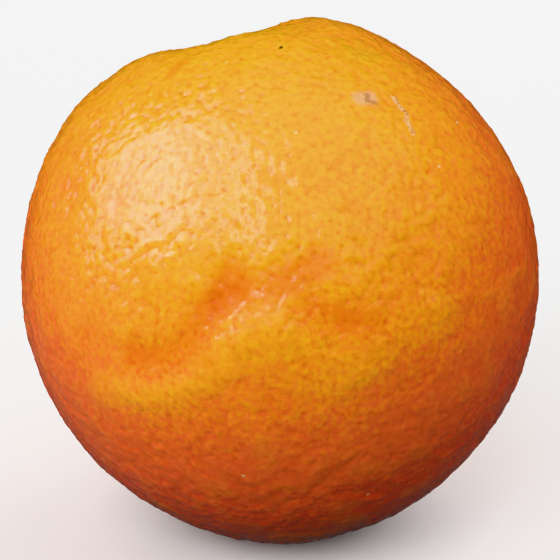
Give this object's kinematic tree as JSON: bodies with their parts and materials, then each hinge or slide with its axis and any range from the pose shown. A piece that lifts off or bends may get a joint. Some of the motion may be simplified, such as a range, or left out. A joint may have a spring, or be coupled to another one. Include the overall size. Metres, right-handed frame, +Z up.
{
  "type": "orange",
  "caption": "Whole ripe orange with a pitted peel, a hollow at the stem end that holds the dry stem button, and a small flat spot it rests on.",
  "frame": {"origin": "centre of the small flat spot that the fruit rests on", "axes": "+Z up, out of the resting surface; -Y is the front, the side with the crease; +X is the fruit's right as seen from the front; the stem end leans to the back and a little to the left"},
  "size_m": [0.0781, 0.0776, 0.0772],
  "materials": {
    "peel": "satin",
    "dried_calyx": "matte"
  },
  "bodies": {
    "root": {"fruit": "peel", "stem_button": "dried_calyx"}
  },
  "joints": []
}
